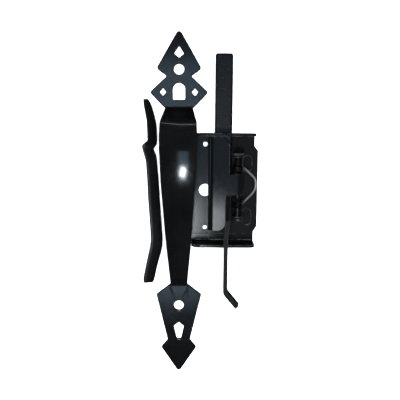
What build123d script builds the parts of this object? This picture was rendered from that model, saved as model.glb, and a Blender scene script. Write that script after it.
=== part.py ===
"""Ornamental thumb latch set for a gate, laid out on its back.

The set has a pull handle with a bowed grip, a thumb lever that belongs in the
slot above the grip, a self latching case with a sprung hood, and the flat bar
that slides into the case.  Millimetres, +Z away from the gate, +Y along the
handle.  The origin is midway between the handle's two screw holes, on its back.
"""

import os

from build123d import *

os.makedirs("parts", exist_ok=True)

# ---- pull handle ------------------------------------------------------------
handle_sheet = 2.5
handle_hole_radius = 4.0
handle_hole_offset = 94.5
slot_half_width = 4.75
slot_bottom_y = 71.4
slot_arch_y = 79.35
grip_foot_top_y = 64.2
grip_bend_y = 53.0
grip_bend_z = 24.0
grip_peak_y = 28.4
grip_peak_z = 34.5
grip_foot_low_y = -76.2
grip_upper_bow = 34.07
grip_lower_bow = 95.0
grip_fall_y = -4.09
grip_fall_z = 28.77

# ---- case -------------------------------------------------------------------
case_sheet = 2.0
case_left_x = 8.7
case_right_x = 59.4
case_tab_x = 62.2
case_top_y = 46.0
case_low_y = -42.2
flange_height = 18.5
flange_left_x = 10.0
flange_corner = 8.0
case_hole_x = 20.8
case_hole_y = 0.75
case_screw_top_y = 37.2
case_screw_low_y = -29.4
case_screw_radius = 1.8
case_centre_radius = 5.0
band_depth = 0.5
band_low_y = -34.2
pad_depth = 1.1
pad_x = 54.0
pad_spacing = 42.6
pad_length = 13.2
pad_width = 7.2
ear_sheet = 2.0
ear_half_width = 4.0
ear_top_y = 29.8
ear_low_y = -18.6

# ---- axle and spring --------------------------------------------------------
axle_x = 46.0
axle_z = 11.5
axle_radius = 2.25
running_gap = 0.05
washer_thickness = 0.7
washer_radius = 4.0
axle_head_radius = 3.3
axle_head_length = 1.3
ring_thickness = 0.7
ring_radius = 3.6
groove_radius = 1.75
axle_tail_length = 0.8
spring_wire_radius = 0.9
spring_coil_radius = 3.3
spring_turns = 4
spring_leg = 3.8
coil_step = 0.92
upper_coil_y = 21.4
lower_coil_y = -11.2

# ---- hood and release lever -------------------------------------------------
hood_sheet = 1.8
hood_left_x = 22.9
hood_right_x = 39.4
hood_waist_x = 36.8
hood_top_y = 43.2
hood_low_y = -29.7
hood_round = 3.2
hood_lip_z = 4.8
hood_lean = 3.5
tongue_top_y = 14.6
tongue_low_y = -1.0
lever_sheet = 3.3
lever_upper_x = 38.9
lever_lower_x = 37.4
lever_weld_y = 12.0
lever_low_z = 20.5
lever_high_z = 29.5
cord_hole_radius = 1.6

# ---- strike bar -------------------------------------------------------------
bar_left_x = 28.0
bar_width = 13.4
bar_thickness = 6.0
bar_outer_y = 106.3
bar_inner_y = -5.5
bar_gap = 0.3
window_gap = 0.8

# ---- thumb lever ------------------------------------------------------------
thumb_mid_z = 8.0
thumb_pad_half_width = 8.0
thumb_arm_half_width = 4.2

deep = 60.0


# ---- pull handle ------------------------------------------------------------
# right half of the flat outline, from the upper tip to the lower one: x, y, corner radius
handle_corners = [
    (0, 125.4, 2.4), (17.5, 95.2, 2.3), (13.9, 92.3, 3.0), (9.5, 89.4, 0.9),
    (22.9, 77.0, 2.0), (10.5, 64.2, 2.0), (13.9, 52.8, 3.0), (14.2, 42.0, 0),
    (13.0, 13.3, 0), (11.8, -6.5, 0), (10.5, -29.5, 0), (9.4, -45.0, 0),
    (7.1, -72.7, 0), (6.8, -76.2, 1.5), (18.3, -85.2, 1.2), (9.1, -123.8, 1.0),
    (14.4, -130.3, 1.2), (0, -152.0, 2.2),
]


with BuildPart() as pull_handle:
    # bowed strip, drawn from the side along its back face
    with BuildSketch(Plane.YZ):
        with BuildLine():
            Line((126, 0), (grip_foot_top_y, 0))
            Line((grip_foot_top_y, 0), (grip_bend_y, grip_bend_z - handle_sheet))
            RadiusArc(
                (grip_bend_y, grip_bend_z - handle_sheet),
                (grip_peak_y, grip_peak_z - handle_sheet),
                -grip_upper_bow,
            )
            RadiusArc(
                (grip_peak_y, grip_peak_z - handle_sheet),
                (grip_fall_y, grip_fall_z - handle_sheet),
                -grip_lower_bow,
            )
            Line((grip_fall_y, grip_fall_z - handle_sheet), (grip_foot_low_y, 0))
            Line((grip_foot_low_y, 0), (-153, 0))
            offset(amount=handle_sheet, side=Side.RIGHT)
        make_face()
    extrude(amount=deep / 2, both=True)
    # ornamental outline with its cut-outs
    with BuildSketch() as handle_flat:
        with BuildLine():
            Polyline(*[(x, y) for x, y, radius in handle_corners])
            mirror(about=Plane.YZ)
        make_face()
        for x, y, radius in handle_corners:
            for side in {-1, 1} if x else {1}:
                if radius:
                    corner = handle_flat.vertices().sort_by_distance((side * x, y, 0))[0]
                    fillet(corner, radius)
        with Locations((0, handle_hole_offset), (0, -handle_hole_offset)):
            Circle(handle_hole_radius, mode=Mode.SUBTRACT)
        with BuildLine():
            Polyline((-slot_half_width, slot_arch_y), (-slot_half_width, slot_bottom_y),
                     (slot_half_width, slot_bottom_y), (slot_half_width, slot_arch_y))
            ThreePointArc((slot_half_width, slot_arch_y), (0, slot_arch_y + slot_half_width),
                          (-slot_half_width, slot_arch_y))
        make_face(mode=Mode.SUBTRACT)
        with BuildLine():
            Polyline((0, 112.1), (3.8, 106.3), (0, 103.2), (-3.8, 106.3), close=True)
        make_face(mode=Mode.SUBTRACT)
        with BuildLine():
            Polyline((-1.7, -122.4), (-4.2, -112.2), (0, -108.7), (4.2, -112.2),
                     (1.7, -122.4))
            ThreePointArc((1.7, -122.4), (0, -124.2), (-1.7, -122.4))
        make_face(mode=Mode.SUBTRACT)
        for side in (-1, 1):
            with BuildLine():
                Polyline((side * 12.4, 80.3), (side * 14.9, 77.2), (side * 12.4, 74.1),
                         (side * 9.9, 77.2), close=True)
            make_face(mode=Mode.SUBTRACT)
    extrude(amount=deep, mode=Mode.INTERSECT)
pull_handle.part.label = "pull_handle"
export_step(pull_handle.part, "parts/pull_handle.step")


# ---- thumb lever, lying on its side -------------------------------------------
with BuildPart() as thumb_lever:
    # side outline: pad, notch where it rocks in the slot, long tail
    with BuildSketch():
        with BuildLine():
            Spline((-24.4, 72.6), (-28.4, 68.5), (-25.9, 55.5), (-25.6, 46.0), (-25.3, 40.4))
            Line((-25.3, 40.4), (-28.8, 37.4))
            Spline((-28.8, 37.4), (-25.5, 24.4), (-24.0, -5.5), (-21.9, -38.2),
                   (-25.4, -55.7), (-28.2, -69.8))
            ThreePointArc((-28.2, -69.8), (-25.0, -73.0), (-19.6, -71.8))
            Spline((-19.6, -71.8), (-15.6, -53.9), (-12.8, -37.0), (-15.0, -4.2),
                   (-17.3, 28.4))
            Line((-17.3, 28.4), (-19.6, 33.6))
            Line((-19.6, 33.6), (-16.7, 37.5))
            Spline((-16.7, 37.5), (-16.9, 47.0), (-20.0, 64.6), (-24.4, 72.6))
        make_face()
    extrude(amount=2 * thumb_mid_z)
    # outline seen from the front: broad leaf shaped pad, narrow arm
    with BuildSketch(Plane.YZ):
        with BuildLine():
            Spline((74.0, thumb_mid_z - 2.5), (62.0, 0.6), (50.0, 0.0), (40.0, 2.2),
                   (34.0, thumb_mid_z - thumb_arm_half_width))
            Line((34.0, thumb_mid_z - thumb_arm_half_width),
                 (-75.0, thumb_mid_z - thumb_arm_half_width))
            Line((-75.0, thumb_mid_z - thumb_arm_half_width),
                 (-75.0, thumb_mid_z + thumb_arm_half_width))
            Line((-75.0, thumb_mid_z + thumb_arm_half_width),
                 (34.0, thumb_mid_z + thumb_arm_half_width))
            Spline((34.0, thumb_mid_z + thumb_arm_half_width), (40.0, 13.8), (50.0, 16.0),
                   (62.0, 15.4), (74.0, thumb_mid_z + 2.5))
            Line((74.0, thumb_mid_z + 2.5), (74.0, thumb_mid_z - 2.5))
        make_face()
    extrude(amount=deep, both=True, mode=Mode.INTERSECT)
thumb_lever.part.label = "thumb_lever"
export_step(thumb_lever.part, "parts/thumb_lever.step")


# ---- latch case ---------------------------------------------------------------
case_mid_y = (case_top_y + case_low_y) / 2
ear_rows = (ear_top_y - ear_sheet / 2, ear_low_y - ear_sheet / 2)

with BuildPart() as case_base:
    # channel with two end flanges, seen along X
    with BuildSketch(Plane.YZ):
        with BuildLine():
            FilletPolyline((case_low_y + case_sheet / 2, flange_height),
                           (case_low_y + case_sheet / 2, case_sheet / 2),
                           (case_top_y - case_sheet / 2, case_sheet / 2),
                           (case_top_y - case_sheet / 2, flange_height),
                           radius=case_sheet)
        trace(line_width=case_sheet)
    extrude(amount=case_tab_x)
    # plan outline: flanges stop at the tab's shoulders
    with BuildSketch():
        with BuildLine():
            Polyline((case_left_x, case_low_y - 1), (case_right_x, case_low_y - 1),
                     (case_right_x, -32.4), (case_tab_x, -28.1), (case_tab_x, 32.1),
                     (case_right_x, 36.0), (case_right_x, case_top_y + 1),
                     (case_left_x, case_top_y + 1), close=True)
        make_face()
    extrude(amount=deep, mode=Mode.INTERSECT)
    # flange ends, seen along Y
    with BuildSketch(Plane.XZ):
        with BuildLine():
            Polyline((case_left_x, 0), (case_tab_x, 0), (case_tab_x, case_sheet + 1),
                     (case_right_x, case_sheet + 1), (case_right_x, 14.0))
            RadiusArc((case_right_x, 14.0), (case_right_x - 4.5, flange_height), -4.5)
            Line((case_right_x - 4.5, flange_height),
                 (flange_left_x + flange_corner, flange_height))
            RadiusArc((flange_left_x + flange_corner, flange_height),
                      (flange_left_x, flange_height - flange_corner), -flange_corner)
            Polyline((flange_left_x, flange_height - flange_corner),
                     (flange_left_x, case_sheet + 1), (case_left_x, case_sheet + 1),
                     (case_left_x, 0))
        make_face()
    extrude(amount=deep, both=True, mode=Mode.INTERSECT)
    # two ears that carry the axle
    for row in ear_rows:
        with BuildSketch(Plane.XZ.offset(-row)):
            with Locations((axle_x, axle_z)):
                Circle(ear_half_width)
            with Locations((axle_x, (axle_z + 1) / 2)):
                Rectangle(2 * ear_half_width, axle_z - 1)
        extrude(amount=ear_sheet / 2, both=True)
    with BuildSketch(Plane.XZ.offset(-case_mid_y)):
        with Locations((axle_x, axle_z)):
            Circle(axle_radius + running_gap)
    extrude(amount=deep / 2, both=True, mode=Mode.SUBTRACT)
    # screw holes and the round centre hole
    with BuildSketch():
        with Locations((case_hole_x, case_screw_top_y), (case_hole_x, case_screw_low_y)):
            Circle(case_screw_radius)
        with Locations((case_hole_x, case_hole_y)):
            Circle(case_centre_radius)
    extrude(amount=case_sheet + 1, mode=Mode.SUBTRACT)
    # lowered band between the flat of the plate and the lower flange
    band_foot_y = case_low_y + case_sheet + 1
    with BuildSketch(Plane.XY.offset(case_sheet)):
        with Locations((case_tab_x / 2, (band_low_y + band_foot_y) / 2)):
            Rectangle(2 * case_tab_x, band_low_y - band_foot_y)
    extrude(amount=-band_depth, mode=Mode.SUBTRACT)
    # pressed oval pads beside the spring
    with BuildSketch(Plane.XY.offset(case_sheet)):
        with Locations((pad_x, case_hole_y + pad_spacing / 2),
                       (pad_x, case_hole_y - pad_spacing / 2)):
            SlotOverall(pad_length, pad_width, rotation=90)
    extrude(amount=-pad_depth, mode=Mode.SUBTRACT)
    # window for the strike bar in the upper flange
    with BuildSketch(Plane.XZ.offset(-case_top_y - 1)):
        with Locations((bar_left_x + bar_width / 2, case_sheet + 3.6)):
            Rectangle(bar_width + 2 * window_gap, 7.2)
    extrude(amount=case_sheet + 3, mode=Mode.SUBTRACT)
case_base.part.label = "case_base"
export_step(case_base.part, "parts/case_base.step")


# ---- axle, washers and retaining ring -----------------------------------------
head_low_y = ear_top_y + washer_thickness
ring_top_y = ear_low_y - ear_sheet - washer_thickness
ring_low_y = ring_top_y - ring_thickness
axle_low_y = ring_low_y - axle_tail_length


def along_axle(from_y):
    """Plane across the axle at a height along Y, with its normal pointing up the axle."""
    return Plane(origin=(axle_x, from_y, axle_z), x_dir=(1, 0, 0), z_dir=(0, 1, 0))


with BuildPart() as axle_pin:
    with BuildSketch(along_axle(axle_low_y)):
        Circle(axle_radius)
    extrude(amount=head_low_y - axle_low_y)
    with BuildSketch(along_axle(head_low_y)):
        Circle(axle_head_radius)
    extrude(amount=axle_head_length)
    fillet(axle_pin.faces().sort_by(Axis.Y)[-1].edges(), 0.8)
    with BuildSketch(along_axle(ring_low_y)):
        Circle(axle_radius + 1)
        Circle(groove_radius, mode=Mode.SUBTRACT)
    extrude(amount=ring_thickness, mode=Mode.SUBTRACT)
    chamfer(axle_pin.faces().sort_by(Axis.Y)[0].edges(), 0.3)
axle_pin.part.label = "axle_pin"
export_step(axle_pin.part, "parts/axle_pin.step")

washer_rows = {"axle_washer_upper": ear_top_y,
               "axle_washer_lower": ear_low_y - ear_sheet - washer_thickness}
for washer_name, washer_y in washer_rows.items():
    with BuildPart() as axle_washer:
        with BuildSketch(along_axle(washer_y)):
            Circle(washer_radius)
            Circle(axle_radius + running_gap, mode=Mode.SUBTRACT)
        extrude(amount=washer_thickness)
    axle_washer.part.label = washer_name
    export_step(axle_washer.part, f"parts/{washer_name}.step")

with BuildPart() as retaining_ring:
    # open ring that snaps into the groove from above
    with BuildSketch(along_axle(ring_low_y)):
        Circle(ring_radius)
        Circle(groove_radius + 0.02, mode=Mode.SUBTRACT)
        with Locations((0, -ring_radius)):
            Rectangle(2 * groove_radius - 0.4, 2 * ring_radius, mode=Mode.SUBTRACT)
    extrude(amount=ring_thickness)
retaining_ring.part.label = "retaining_ring"
export_step(retaining_ring.part, "parts/retaining_ring.step")


# ---- torsion spring -----------------------------------------------------------
wire_pitch = 2 * spring_wire_radius * coil_step
coil_length = (spring_turns - 1) * wire_pitch

with BuildPart() as torsion_spring:
    # closed coils as touching rings around the axle
    for coil_y, step in ((upper_coil_y, -1), (lower_coil_y, 1)):
        for turn in range(spring_turns):
            turn_y = coil_y + step * turn * wire_pitch
            with BuildSketch(Plane(origin=(axle_x, turn_y, axle_z), x_dir=(0, 0, 1),
                                   z_dir=(1, 0, 0))):
                with Locations((spring_coil_radius, 0)):
                    Circle(spring_wire_radius)
            revolve(axis=Axis((axle_x, 0, axle_z), (0, 1, 0)))
    # bridge wire that bears on the case plate
    with BuildLine() as bridge_line:
        FilletPolyline(
            (axle_x, upper_coil_y, axle_z - spring_coil_radius),
            (49.8, upper_coil_y - 1.2, 6.6), (59.6, 11.4, 3.2), (60.9, 6.3, 2.95),
            (60.5, 2.2, 2.95), (58.4, -1.4, 3.0), (49.8, lower_coil_y + 1.8, 6.6),
            (axle_x, lower_coil_y, axle_z - spring_coil_radius),
            radius=1.6)
    with BuildSketch(Plane(origin=bridge_line.line @ 0, z_dir=bridge_line.line % 0)):
        Circle(spring_wire_radius)
    sweep(path=bridge_line.line)
    # short legs under the hood's edge
    for leg_y in (upper_coil_y - coil_length, lower_coil_y + coil_length):
        with BuildSketch(Plane(origin=(axle_x, leg_y, axle_z + spring_coil_radius),
                               z_dir=(-1, 0, 0))):
            Circle(spring_wire_radius)
        extrude(amount=spring_leg)
torsion_spring.part.label = "torsion_spring"
export_step(torsion_spring.part, "parts/torsion_spring.step")


# ---- latch hood ---------------------------------------------------------------
hood_top_z = axle_z + axle_radius + running_gap + hood_sheet
knuckle_radius = axle_radius + running_gap + hood_sheet
hood_mid = hood_sheet / 2

with BuildPart() as latch_hood:
    # bent sheet, seen along Y
    with BuildSketch(Plane.XZ.offset(-hood_low_y)):
        with BuildLine():
            FilletPolyline((hood_left_x + hood_mid, hood_lip_z),
                           (hood_left_x + hood_mid, hood_top_z - hood_mid),
                           (hood_right_x, hood_top_z - hood_mid),
                           radius=hood_round)
        trace(line_width=hood_sheet)
    extrude(amount=-(hood_top_y - hood_low_y))
    # plan outline with a clipped upper corner and a rounded lower one
    with BuildSketch():
        with BuildLine():
            Polyline((hood_left_x, hood_low_y), (30.4, hood_low_y))
            ThreePointArc((30.4, hood_low_y), (35.0, -27.6), (hood_waist_x, -23.0))
            Polyline((hood_waist_x, -23.0), (hood_waist_x, tongue_low_y),
                     (hood_right_x, tongue_low_y), (hood_right_x, hood_top_y - 5.8),
                     (33.4, hood_top_y), (hood_left_x, hood_top_y), (hood_left_x, hood_low_y))
        make_face()
    extrude(amount=deep, mode=Mode.INTERSECT)
    # tongue rolled into a knuckle round the axle
    with BuildSketch(Plane.XZ.offset(-tongue_low_y)):
        with Locations(((hood_right_x - 2 + axle_x) / 2, hood_top_z - hood_mid)):
            Rectangle(axle_x - hood_right_x + 2, hood_sheet)
        with Locations((axle_x, axle_z)):
            Circle(knuckle_radius)
            Circle(axle_radius + running_gap, mode=Mode.SUBTRACT)
    extrude(amount=-(tongue_top_y - tongue_low_y))
# the spring holds the hood down past level
axle_line = Axis((axle_x, 0, axle_z), (0, 1, 0))
hood_shape = latch_hood.part.rotate(axle_line, -hood_lean)
hood_shape.label = "latch_hood"
export_step(hood_shape, "parts/latch_hood.step")


# ---- release lever ------------------------------------------------------------
lever_top_z = hood_top_z - hood_sheet

with BuildPart() as release_lever:
    # strip seen on edge, from above
    with BuildSketch():
        with BuildLine():
            FilletPolyline((lever_upper_x, lever_weld_y), (lever_upper_x, -21.5),
                           (lever_lower_x, -34.0), (lever_lower_x, -75.8), (46.7, -86.9),
                           radius=5.0)
        trace(line_width=lever_sheet)
    extrude(amount=deep)
    # the same strip seen from the side: it climbs over the lower flange
    with BuildSketch(Plane.YZ):
        with BuildLine():
            FilletPolyline((lever_weld_y, 9.4), (lever_weld_y, lever_top_z),
                           (-3.0, lever_top_z), (-19.0, lever_high_z), (-89.0, lever_high_z),
                           (-89.0, lever_low_z), (-23.5, lever_low_z), (-10.0, 9.4),
                           radius=1.5, close=True)
        make_face()
        with Locations((-66.0, (lever_low_z + lever_high_z) / 2)):
            Circle(cord_hole_radius, mode=Mode.SUBTRACT)
    extrude(amount=deep, mode=Mode.INTERSECT)
lever_shape = release_lever.part.rotate(axle_line, -hood_lean)
lever_shape.label = "release_lever"
export_step(lever_shape, "parts/release_lever.step")


# ---- strike bar ---------------------------------------------------------------
with BuildPart() as strike_bar:
    with BuildSketch(Plane.XY.offset(case_sheet + bar_gap)):
        with Locations((bar_left_x + bar_width / 2, (bar_outer_y + bar_inner_y) / 2)):
            Rectangle(bar_width, bar_outer_y - bar_inner_y)
        chamfer(vertices(), 1.2)
    extrude(amount=bar_thickness)
    fillet(faces().sort_by(Axis.Z)[-1].edges(), 1.6)
strike_bar.part.label = "strike_bar"
export_step(strike_bar.part, "parts/strike_bar.step")
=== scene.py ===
"""Looks of the gate thumb latch set: black powder coated pieces laid out on a pale table."""
import math

import bmesh
import bpy
from mathutils import Matrix, Vector


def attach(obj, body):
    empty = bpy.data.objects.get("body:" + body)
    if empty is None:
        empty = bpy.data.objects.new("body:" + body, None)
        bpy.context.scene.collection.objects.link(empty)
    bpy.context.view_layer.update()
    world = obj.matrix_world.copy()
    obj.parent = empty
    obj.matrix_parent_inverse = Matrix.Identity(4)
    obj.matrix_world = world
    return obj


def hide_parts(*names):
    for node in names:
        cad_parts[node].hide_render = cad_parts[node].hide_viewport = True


MM = 0.001

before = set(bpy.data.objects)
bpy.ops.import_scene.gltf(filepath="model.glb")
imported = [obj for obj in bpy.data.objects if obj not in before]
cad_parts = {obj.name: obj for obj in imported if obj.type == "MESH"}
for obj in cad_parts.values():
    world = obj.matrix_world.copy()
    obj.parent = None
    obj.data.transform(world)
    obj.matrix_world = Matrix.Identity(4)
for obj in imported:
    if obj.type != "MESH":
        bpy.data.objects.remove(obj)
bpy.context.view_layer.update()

# ---- driving sizes, in metres -------------------------------------------------------
CAMERA_PLACE = (0.014, 0.0595, 0.450)
CAMERA_AIM = (0.0168, -0.0075, 0.0)
CAMERA_ROLL = 0.38            # degrees
VIEW_WIDTH = 0.320
SENSOR_WIDTH = 36.0

SHEET = 2.5 * MM              # thickness of the handle's strip
EDGE_ROUND = 0.55 * MM        # rounding of the strip's front edge
BACK_ROUND = 0.2 * MM
EDGE_FLAT = 0.12 * MM         # narrow flat beside each rounding, which keeps its shade there
FOOT_TOP = 64.2 * MM          # where the grip leaves the upper plate
FOOT_LOW = -76.2 * MM         # where it meets the lower plate
BEND_Y, BEND_Z = 53.0 * MM, 21.5 * MM
PEAK_Y, PEAK_Z = 28.4 * MM, 32.0 * MM
FALL_Y, FALL_Z = -4.09 * MM, 26.27 * MM     # from here the grip runs down straight
CROWN = 1.4 * MM              # fall of the crown at CROWN_HALF from its apex
CROWN_X, CROWN_HALF = 5.2 * MM, 14 * MM
LOW_BLEND = (-1 * MM, 24 * MM)     # the crown grows over this stretch above the lower foot
HIGH_BLEND = (-9 * MM, 3 * MM)     # and fades over this stretch round the bend
TABLE_HALF, TABLE_DROP = 3.0, 0.0003

# sizes of the coat's patterns, in metres, and the strength of its dulled part
MOTTLE, SPECK, EDGE_SOFTEN_RADIUS = 0.03, 0.0035, 0.0005
DULL = 0.45


# ---- camera and lights --------------------------------------------------------------
def add_camera():
    data = bpy.data.cameras.new("camera")
    camera = bpy.data.objects.new("camera", data)
    bpy.context.collection.objects.link(camera)
    place, aim = Vector(CAMERA_PLACE), Vector(CAMERA_AIM)
    back = (place - aim).normalized()
    right = Vector((0, 1, 0)).cross(back).normalized()
    turn = Matrix((right, back.cross(right), back)).transposed()
    turn = turn @ Matrix.Rotation(math.radians(CAMERA_ROLL), 3, "Z")
    camera.location = place
    camera.rotation_euler = turn.to_euler()
    data.sensor_width = SENSOR_WIDTH
    data.lens = SENSOR_WIDTH * (aim - place).length / VIEW_WIDTH
    data.clip_start = 0.01
    bpy.context.scene.camera = camera


def add_area(name, place, aim, size, power, color=(1, 1, 1), glossy=True):
    """Rectangular soft light that points from place to aim."""
    data = bpy.data.lights.new(name, "AREA")
    data.shape = "RECTANGLE"
    data.size, data.size_y = size
    data.energy = power
    data.color = color
    light = bpy.data.objects.new(name, data)
    bpy.context.collection.objects.link(light)
    light.location = place
    light.rotation_euler = (Vector(aim) - Vector(place)).to_track_quat("-Z", "Y").to_euler()
    light.visible_glossy = glossy
    light.visible_camera = False


def add_lights():
    # soft fill round the lens, with weaker ones from four sides
    add_area("front", (0.03, 0.12, 1.1), (0, 0, 0), (0.22, 0.22), 18, glossy=False)
    for number, (x, y) in enumerate([(-0.9, 0.5), (0.9, 0.5), (-0.9, -0.6), (0.9, -0.6)]):
        add_area(f"fill_{number}", (x, y, 1.1), (0, 0, 0), (0.8, 0.8), 14, glossy=False)
    # overhead panel that the flat plates mirror
    add_area("panel", (-0.03, -0.07, 0.62), (-0.03, -0.07, 0.0), (0.14, 0.46), 0.36,
             color=(0.50, 0.74, 1.0))
    # low panel at the left
    add_area("low_panel", (-0.70, -0.05, 0.24), (0.0, -0.02, 0.01), (0.16, 0.50), 1.0,
             color=(0.70, 0.86, 1.0))
    # small bright flash
    add_area("flash", (-0.024, -0.116, 0.450), (0.002, 0.018, 0.03), (0.062, 0.085), 0.66,
             color=(0.93, 0.97, 1.0))
    # narrow strip beyond the upper end, which picks out the bend and upper edges
    add_area("far_strip", (0.0, 0.62, 0.085), (0.0, 0.05, 0.022), (0.50, 0.03), 0.22,
             color=(0.80, 0.90, 1.0))

    world = bpy.data.worlds.new("studio")
    bpy.context.scene.world = world
    world.use_nodes = True
    background = world.node_tree.nodes["Background"]
    background.inputs["Color"].default_value = (0.9, 0.95, 1.0, 1)
    background.inputs["Strength"].default_value = 0.03
    bpy.context.scene.view_settings.view_transform = "Standard"


# ---- materials ----------------------------------------------------------------------
def node(tree, kind, **values):
    """Adds a shader node; values name its input sockets."""
    made = tree.nodes.new(kind)
    for name, value in values.items():
        made.inputs[name.replace("_", " ")].default_value = value
    return made


def ramp(tree, source, low, high, dark, light):
    """Map Range from a factor to a span of values."""
    made = node(tree, "ShaderNodeMapRange")
    made.inputs["From Min"].default_value = low
    made.inputs["From Max"].default_value = high
    made.inputs["To Min"].default_value = dark
    made.inputs["To Max"].default_value = light
    tree.links.new(source, made.inputs["Value"])
    return made.outputs["Result"]


def coated(name, dark, light, worn_and_highlit, rough, peel, peel_size, wear_and_highlight, gloss=0.5, metallic=0.0,
           paler_from=None, dull_from=None):
    """Powder coat over steel: mottled colour, orange peel bump, and paler edges that are partly
    worn and partly a painted highlight.

    dark and light are the coat's two colours, worn_and_highlit is the colour at rubbed edges,
    where it also stands for a painted highlight, rough the span of roughness, peel the bump's
    height, peel_size its grain, and gloss the specular level.  paler_from is a span along X, in
    metres, over which the colour turns to worn_and_highlit, so it is paler towards +X; dull_from
    is one over which the coat grows rougher.
    """
    material = bpy.data.materials.new(name)
    material.use_nodes = True
    tree = material.node_tree
    shader = tree.nodes["Principled BSDF"]
    shader.inputs["Metallic"].default_value = metallic
    shader.inputs["Specular IOR Level"].default_value = gloss
    place = node(tree, "ShaderNodeTexCoord").outputs["Object"]

    def noise(size, detail=3.0, roughness=0.5):
        made = node(tree, "ShaderNodeTexNoise", Scale=1 / size, Detail=detail, Roughness=roughness)
        tree.links.new(place, made.inputs["Vector"])
        return made.outputs["Fac"]

    broad = noise(MOTTLE)
    fine = noise(SPECK, 5.0, 0.6)
    grain = noise(peel_size, 2.0)
    split = node(tree, "ShaderNodeSeparateXYZ")
    tree.links.new(place, split.inputs["Vector"])
    along = split.outputs["X"]

    # colour: cloudy mix of two blacks
    cloud = node(tree, "ShaderNodeMix")
    cloud.data_type = "RGBA"
    cloud.inputs["A"].default_value = (*dark, 1)
    cloud.inputs["B"].default_value = (*light, 1)
    tree.links.new(ramp(tree, broad, 0.35, 0.65, 0.0, 1.0), cloud.inputs["Factor"])

    # rubbed edges with a painted highlight: paler colour where a rounded normal leaves the face
    # normal, partly coat wear and partly the shine of a rounded edge painted into the colour
    soft = node(tree, "ShaderNodeBevel", Radius=EDGE_SOFTEN_RADIUS)
    soft.samples = 6
    facing = node(tree, "ShaderNodeVectorMath")
    facing.operation = "DOT_PRODUCT"
    true_face = node(tree, "ShaderNodeNewGeometry").outputs["Normal"]
    tree.links.new(soft.outputs["Normal"], facing.inputs[0])
    tree.links.new(true_face, facing.inputs[1])
    edge = ramp(tree, facing.outputs["Value"], 0.995, 0.86, 0.0, 1.0)
    broken = node(tree, "ShaderNodeMath")
    broken.operation = "MULTIPLY"
    tree.links.new(edge, broken.inputs[0])
    tree.links.new(ramp(tree, fine, 0.42, 0.62, 0.0, wear_and_highlight), broken.inputs[1])
    amount = broken.outputs["Value"]
    # colour turns paler towards +X: the spring's bridge is lighter than its coils
    if paler_from:
        most = node(tree, "ShaderNodeMath")
        most.operation = "MAXIMUM"
        tree.links.new(amount, most.inputs[0])
        tree.links.new(ramp(tree, along, *paler_from, 0.0, 1.0), most.inputs[1])
        amount = most.outputs["Value"]
    rubbed_and_highlit = node(tree, "ShaderNodeMix")
    rubbed_and_highlit.data_type = "RGBA"
    rubbed_and_highlit.inputs["B"].default_value = (*worn_and_highlit, 1)
    tree.links.new(cloud.outputs["Result"], rubbed_and_highlit.inputs["A"])
    tree.links.new(amount, rubbed_and_highlit.inputs["Factor"])
    tree.links.new(rubbed_and_highlit.outputs["Result"], shader.inputs["Base Color"])

    roughness = ramp(tree, fine, 0.3, 0.7, rough[0], rough[1])
    if dull_from:
        dull = node(tree, "ShaderNodeMath")
        tree.links.new(roughness, dull.inputs[0])
        tree.links.new(ramp(tree, along, *dull_from, 0.0, DULL), dull.inputs[1])
        roughness = dull.outputs["Value"]
    tree.links.new(roughness, shader.inputs["Roughness"])

    bump = node(tree, "ShaderNodeBump", Strength=1.0, Distance=peel)
    tree.links.new(grain, bump.inputs["Height"])
    tree.links.new(soft.outputs["Normal"], bump.inputs["Normal"])
    tree.links.new(bump.outputs["Normal"], shader.inputs["Normal"])
    return material


def table_material():
    material = bpy.data.materials.new("table")
    material.use_nodes = True
    tree = material.node_tree
    shader = tree.nodes["Principled BSDF"]
    shader.inputs["Base Color"].default_value = (0.93, 0.93, 0.93, 1)
    shader.inputs["Roughness"].default_value = 0.9
    return material


# ---- outlines -----------------------------------------------------------------------
def rounded(corners):
    """Closed outline through corners of (x, y, radius) in mm, as points in metres."""
    points = []
    for index, (x, y, radius) in enumerate(corners):
        corner = Vector((x, y)) * MM
        before = (Vector(corners[index - 1][:2]) * MM - corner).normalized()
        after = (Vector(corners[(index + 1) % len(corners)][:2]) * MM - corner).normalized()
        inner = before.angle(after)
        if radius == 0 or math.pi - inner < 0.01:
            points.append(corner)
            continue
        cut = radius * MM / math.tan(inner / 2)
        centre = corner + (before + after).normalized() * radius * MM / math.sin(inner / 2)
        start, end = corner + before * cut - centre, corner + after * cut - centre
        turn = math.atan2(start.cross(end), start.dot(end))
        steps = max(2, math.ceil(abs(turn) / math.radians(15)))
        for step in range(steps + 1):
            angle = turn * step / steps
            points.append(centre + Vector((
                start.x * math.cos(angle) - start.y * math.sin(angle),
                start.x * math.sin(angle) + start.y * math.cos(angle))))
    return points


def circle(x, y, radius, count=40):
    return [Vector((x + radius * math.cos(math.tau * k / count),
                    y + radius * math.sin(math.tau * k / count))) * MM for k in range(count)]


def wound(points, left_handed):
    """The same loop, turned so that it runs counter-clockwise or clockwise."""
    area = sum(a.cross(b) for a, b in zip(points, points[1:] + points[:1]))
    return points if (area > 0) != left_handed else points[::-1]


def inset(points, amount):
    """Loop moved to its left by amount, with mitred corners."""
    moved = []
    for index, point in enumerate(points):
        ahead = (points[(index + 1) % len(points)] - point).normalized()
        behind = (point - points[index - 1]).normalized()
        normal = Vector((-ahead.y - behind.y, ahead.x + behind.x)).normalized()
        lean = max(0.4, normal.dot(Vector((-ahead.y, ahead.x))))
        moved.append(point + normal * amount / lean)
    return moved


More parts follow.
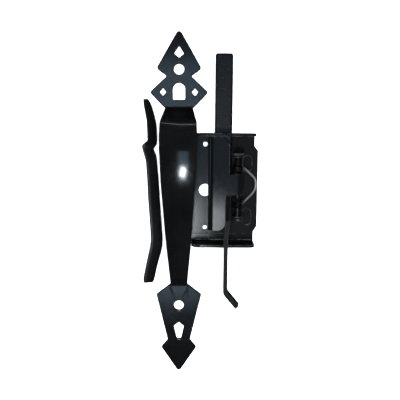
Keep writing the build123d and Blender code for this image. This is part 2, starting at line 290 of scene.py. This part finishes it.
def sheet_blank(outline, holes):
    """Flat blank with softened edges: side walls as rings, front and back filled."""
    quarter = [math.radians(a) for a in (0, 30, 60, 90)]
    profile = [(BACK_ROUND + EDGE_FLAT, 0.0), (BACK_ROUND, 0.0), (0.0, BACK_ROUND)]
    profile += [(EDGE_ROUND * (1 - math.cos(a)), SHEET - EDGE_ROUND * (1 - math.sin(a)))
                for a in quarter]
    profile += [(EDGE_ROUND + EDGE_FLAT, SHEET)]
    blank = bmesh.new()
    caps = ([], [])
    for loop in [wound(outline, False)] + [wound(hole, True) for hole in holes]:
        rings = []
        for depth, height in profile:
            rings.append([blank.verts.new((p.x, p.y, height)) for p in inset(loop, depth)])
        for low, high in zip(rings, rings[1:]):
            for k in range(len(loop)):
                after = (k + 1) % len(loop)
                blank.faces.new((low[k], low[after], high[after], high[k]))
        for cap, ring in zip(caps, (rings[0], rings[-1])):
            for k in range(len(loop)):
                pair = (ring[k], ring[(k + 1) % len(loop)])
                cap.append(blank.edges.get(pair))
    for cap in caps:
        bmesh.ops.triangle_fill(blank, use_beauty=True, edges=cap)
    bmesh.ops.recalc_face_normals(blank, faces=blank.faces)
    return blank


# ---- pull handle --------------------------------------------------------------------
HANDLE_HALF = [
    (0, 125.4, 2.4), (17.5, 95.2, 2.3), (13.9, 92.3, 5.0), (9.5, 89.4, 0.9),
    (22.9, 77.0, 2.0), (10.5, 64.2, 2.0), (13.9, 52.8, 3.0), (14.2, 42.0, 60.0),
    (13.0, 13.3, 200.0), (11.8, -6.5, 200.0), (10.5, -29.5, 200.0), (9.4, -45.0, 150.0),
    (7.1, -72.7, 20.0), (6.8, -76.2, 1.5), (18.3, -85.2, 1.2), (9.1, -123.8, 1.0),
    (14.4, -130.3, 1.2), (0, -152.0, 2.2),
]


# openings of the handle, in mm
SCREW_Y, SCREW_RADIUS = 94.5, 4.0
SLOT_HALF, SLOT_LOW, SLOT_ARCH = 4.75, 71.4, 79.35
SIDE_HOLE_X, SIDE_HOLE_Y = 12.4, 77.2
SIDE_HOLE_HALF, SIDE_HOLE_RISE = 2.5, 3.1


def handle_outline():
    left = [(-x, y, r) for x, y, r in HANDLE_HALF[-2:0:-1]]
    return rounded(HANDLE_HALF + left)


def handle_holes():
    arch = [(SLOT_HALF * math.cos(a), SLOT_ARCH + SLOT_HALF * math.sin(a), 0)
            for a in (math.pi * k / 16 for k in range(17))]
    holes = [
        circle(0, SCREW_Y, SCREW_RADIUS),
        circle(0, -SCREW_Y, SCREW_RADIUS),
        rounded([(-SLOT_HALF, SLOT_LOW, 0.7), (SLOT_HALF, SLOT_LOW, 0.7)] + arch),
        rounded([(0, 112.1, 0.5), (-3.8, 106.3, 0.5), (0, 103.2, 0.5), (3.8, 106.3, 0.5)]),
        rounded([(0, -108.7, 0.6), (-4.2, -112.2, 0.8), (-1.7, -123.2, 1.2),
                 (1.7, -123.2, 1.2), (4.2, -112.2, 0.8)]),
    ]
    for side in (-1, 1):
        x, y = side * SIDE_HOLE_X, SIDE_HOLE_Y
        holes.append(rounded([
            (x, y + SIDE_HOLE_RISE, 0.4), (x - SIDE_HOLE_HALF, y, 0.4),
            (x, y - SIDE_HOLE_RISE, 0.4), (x + SIDE_HOLE_HALF, y, 0.4)]))
    return holes


def bow_height(y):
    """Height of the strip's back face above the table, before its bends are softened."""
    if y >= FOOT_TOP or y <= FOOT_LOW:
        return 0.0
    if y > BEND_Y:
        return BEND_Z * (FOOT_TOP - y) / (FOOT_TOP - BEND_Y)
    if y < FALL_Y:
        return FALL_Z * (y - FOOT_LOW) / (FALL_Y - FOOT_LOW)
    end_y, end_z = (BEND_Y, BEND_Z) if y > PEAK_Y else (FALL_Y, FALL_Z)
    span, rise = abs(end_y - PEAK_Y), PEAK_Z - end_z
    radius = (span ** 2 + rise ** 2) / (2 * rise)
    return PEAK_Z - radius + math.sqrt(radius ** 2 - (y - PEAK_Y) ** 2)


def soft_bow(y, reach=2.2 * MM):
    """Bow height with its bends rounded, as a weighted mean over a short stretch."""
    total = weights = 0.0
    for k in range(-6, 7):
        weight = 1 - abs(k) / 7
        total += weight * bow_height(y + reach * k / 6)
        weights += weight
    return total / weights


def smooth(low, high, value):
    t = min(1.0, max(0.0, (value - low) / (high - low)))
    return t * t * (3 - 2 * t)


def bend_handle(blank):
    """Bends the flat blank into its bow and crowns the grip across its width."""
    step = 0.2 * MM
    for vert in blank.verts:
        x, y, z = vert.co
        base = soft_bow(y)
        slope = (soft_bow(y + step) - soft_bow(y - step)) / (2 * step)
        length = math.hypot(1, slope)
        grip = smooth(FOOT_LOW + LOW_BLEND[0], FOOT_LOW + LOW_BLEND[1], y)
        grip *= 1 - smooth(BEND_Y + HIGH_BLEND[0], BEND_Y + HIGH_BLEND[1], y)
        fall = CROWN * grip * ((x - CROWN_X) / CROWN_HALF) ** 2
        vert.co = (x, y - slope / length * z, base + z / length - fall)


def make_handle():
    blank = sheet_blank(handle_outline(), handle_holes())
    heights = list(range(-81, 46)) + [45 + k / 3 for k in range(78)]
    cuts = [(Vector((0, y * MM, 0)), Vector((0, 1, 0))) for y in heights]
    cuts += [(Vector((x * MM, 0, 0)), Vector((1, 0, 0))) for x in range(-13, 14, 2)]
    for place, normal in cuts:
        faces = [f for f in blank.faces if -82 * MM < f.calc_center_median().y < 72 * MM
                 or max(v.co.y for v in f.verts) > FOOT_LOW > min(v.co.y for v in f.verts)]
        parts = set(faces)
        for face in faces:
            parts.update(face.edges)
            parts.update(face.verts)
        bmesh.ops.bisect_plane(blank, geom=list(parts), plane_co=place, plane_no=normal,
                               dist=1e-7)
    bend_handle(blank)
    return finished("handle_strip", blank)


# ---- common mesh work ---------------------------------------------------------------
def finished(name, shape, sharp=35):
    """Turns a bmesh into a smooth shaded object with sharp edges kept."""
    bmesh.ops.recalc_face_normals(shape, faces=shape.faces)
    for face in shape.faces:
        face.smooth = True
    for edge in shape.edges:
        edge.smooth = len(edge.link_faces) == 2 and edge.calc_face_angle() < math.radians(sharp)
    mesh = bpy.data.meshes.new(name)
    shape.to_mesh(mesh)
    shape.free()
    piece = bpy.data.objects.new(name, mesh)
    bpy.context.collection.objects.link(piece)
    return piece


def between(stations, y):
    """Values at y, on straight lines between stations of (y, value, value, ...)."""
    for low, high in zip(stations, stations[1:]):
        if low[0] <= y <= high[0]:
            t = (y - low[0]) / (high[0] - low[0])
            return [a + (b - a) * t for a, b in zip(low[1:], high[1:])]
    return list(stations[0][1:] if y < stations[0][0] else stations[-1][1:])


# ---- thumb lever --------------------------------------------------------------------
# height along the lever, left side, right side, half width across, all in mm
THUMB_STATIONS = [
    (-73.0, -27.6, -20.6, 3.7), (-72.2, -28.2, -19.9, 4.2), (-69.5, -28.1, -19.1, 4.2),
    (-63.0, -26.9, -17.8, 4.2), (-55.7, -25.4, -16.0, 4.2), (-48.0, -23.7, -13.9, 4.2),
    (-43.0, -22.6, -12.9, 4.2), (-37.5, -22.0, -12.8, 4.2), (-27.0, -22.5, -13.4, 4.2),
    (-5.0, -24.0, -14.9, 4.2), (10.0, -24.6, -15.8, 4.2), (24.0, -25.5, -16.9, 4.2),
    (28.6, -26.7, -17.5, 4.3), (33.4, -28.1, -19.6, 4.4), (37.2, -28.8, -17.0, 4.8),
    (38.4, -27.8, -16.8, 5.2), (40.4, -25.4, -16.7, 6.2), (44.0, -25.5, -16.7, 7.4),
    (50.0, -25.6, -17.0, 8.0), (56.0, -25.8, -17.9, 7.9), (61.0, -26.8, -19.0, 7.2),
    (66.0, -27.9, -20.5, 5.9), (69.5, -28.2, -22.0, 4.4), (71.6, -27.4, -23.4, 2.9),
]
THUMB_MIDDLE = 8.0            # height of the lever's middle above the table
LEAF_HALF = 2.1               # half thickness of the pad's leaf
ARM_SLOPE = 0.36              # fall of the arm's upper face toward its right


def thumb_ring(y, count=36):
    """Cross-section of the lever at a height: a rounded bar, or a dished leaf at the pad."""
    left, right, half = between(THUMB_STATIONS, y)
    pad = smooth(35, 43, y)
    thick = (right - left) / 2
    thick += (min(thick, LEAF_HALF) - thick) * pad
    belly = (right - left) - 2 * thick
    power = 2 / (4.0 - 1.6 * pad)
    ring = []
    for k in range(count):
        angle = math.tau * k / count
        c, s = math.cos(angle), math.sin(angle)
        across = half * math.copysign(abs(s) ** power, s)
        along = thick * math.copysign(abs(c) ** power, c)
        lift = belly * (1 - (across / half) ** 2)
        # the arm's upper face slopes down to its right
        slope = ARM_SLOPE * (1 - pad) * max(0.0, across / half) * (thick + along)
        ring.append(Vector((left + thick + lift + along, y, THUMB_MIDDLE + across - slope)) * MM)
    return ring


def make_thumb_lever():
    shape = bmesh.new()
    heights = [-73 + k * 0.75 for k in range(193)] + [71.6]
    rings = [[shape.verts.new(p) for p in thumb_ring(y)] for y in heights]
    for low, high in zip(rings, rings[1:]):
        for k in range(len(low)):
            after = (k + 1) % len(low)
            shape.faces.new((low[k], low[after], high[after], high[k]))
    shape.faces.new(rings[0])
    shape.faces.new(rings[-1])
    return finished("thumb_lever_cast", shape, sharp=50)


# ---- torsion spring -----------------------------------------------------------------
AXLE_X, AXLE_Z = 46.0, 11.5
COIL_RADIUS, WIRE_RADIUS, TURNS = 3.3, 0.9, 4
UPPER_COIL, LOWER_COIL = 21.4, -11.2
COIL_PITCH, COIL_STEPS, LEG = 1.73, 24, 3.4
BRIDGE = [
    (47.8, 21.2, 7.5), (49.6, 20.3, 6.6), (52.6, 17.6, 5.4), (56.0, 14.5, 4.3),
    (59.3, 11.4, 3.2), (60.6, 8.9, 2.95), (60.95, 6.0, 2.95), (60.6, 2.8, 2.95),
    (59.1, -0.6, 3.0), (55.6, -4.0, 3.9), (52.0, -7.3, 5.3), (49.2, -9.9, 6.6),
    (47.6, -11.0, 7.6),
]


def coil(start_y, step):
    """Helix round the axle from its leg under the bridge to its free leg."""
    points = []
    for k in range(TURNS * COIL_STEPS - COIL_STEPS // 2 + 1):
        angle = -math.pi / 2 - math.tau * k / COIL_STEPS
        points.append((AXLE_X + COIL_RADIUS * math.cos(angle),
                       start_y + step * COIL_PITCH * k / COIL_STEPS,
                       AXLE_Z + COIL_RADIUS * math.sin(angle)))
    return points


def make_spring():
    """One wire: leg, upper coil, bridge, lower coil and leg."""
    upper, lower = coil(UPPER_COIL, -1), coil(LOWER_COIL, 1)
    tail_up = (AXLE_X - LEG, upper[-1][1], AXLE_Z + COIL_RADIUS)
    tail_low = (AXLE_X - LEG, lower[-1][1], AXLE_Z + COIL_RADIUS)
    route = [tail_up] + upper[::-1] + BRIDGE + lower + [tail_low]
    data = bpy.data.curves.new("spring_wire", "CURVE")
    data.dimensions = "3D"
    spline = data.splines.new("NURBS")
    spline.points.add(len(route) - 1)
    for point, place in zip(spline.points, route):
        point.co = (*(Vector(place) * MM), 1)
    spline.order_u = 3
    spline.use_endpoint_u = True
    spline.resolution_u = 3
    data.bevel_depth = WIRE_RADIUS * MM
    data.bevel_resolution = 4
    data.use_fill_caps = True
    piece = bpy.data.objects.new("spring_wire", data)
    bpy.context.collection.objects.link(piece)
    return piece


# ---- put it together ----------------------------------------------------------------
def dress(piece, material):
    """Gives a piece one material on every slot."""
    if not piece.material_slots:
        piece.data.materials.append(material)
    for slot in piece.material_slots:
        slot.material = material


def add_table():
    shape = bmesh.new()
    bmesh.ops.create_grid(shape, x_segments=8, y_segments=8, size=TABLE_HALF)
    table = finished("table", shape)
    table.location.z = -TABLE_DROP
    table.visible_glossy = False
    dress(table, table_material())


add_camera()
add_lights()
add_table()

BLACK, SOOT = (0.0010, 0.0010, 0.0011), (0.0018, 0.0019, 0.0020)
PLATE_DARK, PLATE_LIGHT = (0.0010, 0.0011, 0.0013), (0.0020, 0.0022, 0.0025)
# edge colours: partly worn coat, partly a painted highlight on rounded edges
WORN_AND_HIGHLIT, SCUFFED_AND_HIGHLIT = (0.11, 0.115, 0.12), (0.13, 0.135, 0.14)

handle_coat = coated("handle_coat", PLATE_DARK, PLATE_LIGHT, WORN_AND_HIGHLIT, (0.11, 0.18),
                     0.00001, 0.0009, 0.5)
thumb_coat = coated("thumb_coat", BLACK, SOOT, WORN_AND_HIGHLIT, (0.28, 0.44), 0.00012, 0.0022, 0.7,
                    gloss=0.35)
case_coat = coated("case_coat", BLACK, SOOT, SCUFFED_AND_HIGHLIT, (0.14, 0.22), 0.00002, 0.0010, 0.9,
                   gloss=0.21, dull_from=(0.022, 0.032))
hood_coat = coated("hood_coat", BLACK, PLATE_LIGHT, WORN_AND_HIGHLIT, (0.10, 0.16), 0.00002, 0.0010, 0.9,
                   gloss=0.09)
lever_coat = coated("lever_coat", BLACK, SOOT, WORN_AND_HIGHLIT, (0.42, 0.58), 0.00003, 0.0010, 0.5,
                    gloss=0.16)
bar_coat = coated("bar_coat", PLATE_DARK, PLATE_LIGHT, WORN_AND_HIGHLIT, (0.24, 0.40), 0.00003, 0.0012, 0.7,
                  gloss=0.36)
axle_coat = coated("axle_coat", BLACK, SOOT, WORN_AND_HIGHLIT, (0.18, 0.30), 0.00001, 0.0008, 0.9,
                   gloss=0.15)
# the wire is darker on its coils near the axle and paler on its bridge beyond X 49 to 54 mm
wire_coat = coated("wire_coat", BLACK, SOOT, (0.19, 0.19, 0.185), (0.28, 0.42),
                   0.00001, 0.0008, 0.4, metallic=0.7, paler_from=(0.0490, 0.0540))

handle = make_handle()
dress(handle, handle_coat)
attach(handle, "latch_set")
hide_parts("pull_handle")

thumb = make_thumb_lever()
dress(thumb, thumb_coat)
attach(thumb, "thumb")
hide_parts("thumb_lever")

spring = make_spring()
dress(spring, wire_coat)
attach(spring, "latch_set")
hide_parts("torsion_spring")

for name, coat in {"case_base": case_coat, "latch_hood": hood_coat, "release_lever": lever_coat,
                   "strike_bar": bar_coat, "axle_pin": axle_coat, "axle_washer_upper": axle_coat,
                   "axle_washer_lower": axle_coat, "retaining_ring": axle_coat}.items():
    dress(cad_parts[name], coat)
